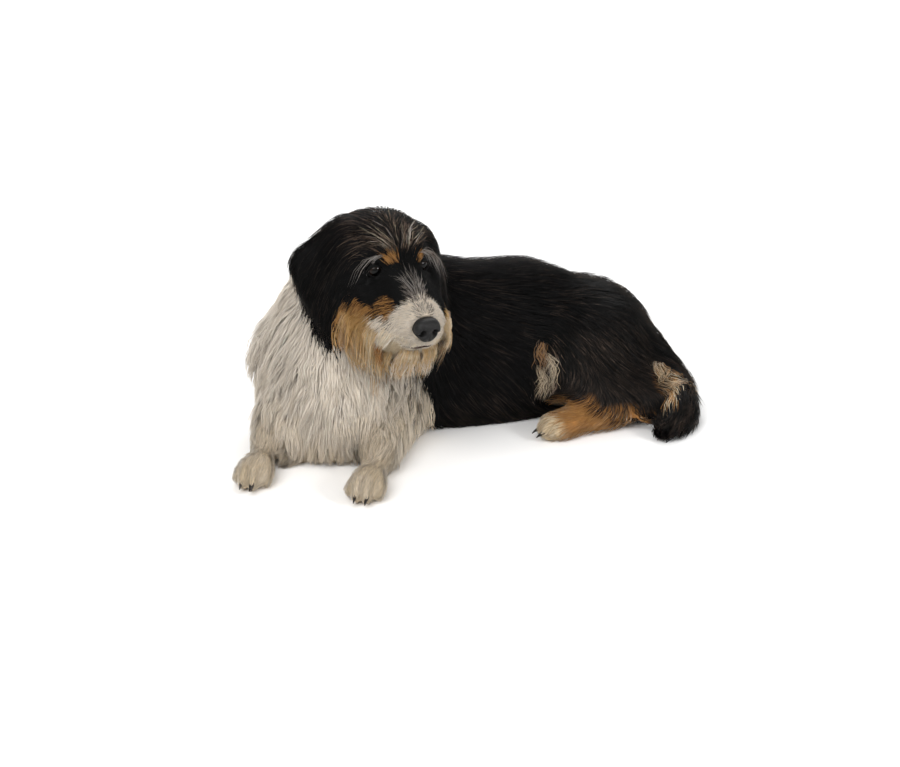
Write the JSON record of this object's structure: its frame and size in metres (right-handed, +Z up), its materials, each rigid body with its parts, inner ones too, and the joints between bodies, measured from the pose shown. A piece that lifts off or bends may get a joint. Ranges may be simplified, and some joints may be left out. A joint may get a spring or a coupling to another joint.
{
  "type": "dog",
  "caption": "Long-coated black, white and tan mixed-breed dog lying on its belly with its head turned to its left, as a still life-size model.",
  "frame": {"origin": "on the floor, on the flat under the middle of the trunk", "axes": "+Z up; +X along the back towards the rump, with the head end at -X; the dog's left side faces -Y"},
  "size_m": [0.6167, 0.4388, 0.3069],
  "materials": {
    "coat_black": "soft long hair, black with a low sheen",
    "coat_white": "soft long hair, off-white to cream",
    "coat_tan": "soft hair, golden tan",
    "nose_leather": "pebbled and moist",
    "eye": "glossy dark brown"
  },
  "bodies": {
    "root": {"head": "coat_tan", "nose": "nose_leather", "eye_left": "eye", "eye_right": "eye", "ear_left": "coat_black", "ear_right": "coat_black", "neck": "coat_white", "trunk": "coat_black", "foreleg_left": "coat_white", "foreleg_right": "coat_white", "forepaw_left": "coat_white", "forepaw_right": "coat_white", "hindleg_left": "coat_black", "hindleg_right": "coat_black", "hindpaw_left": "coat_tan", "hindpaw_right": "coat_tan", "tail": "coat_black"}
  },
  "joints": []
}
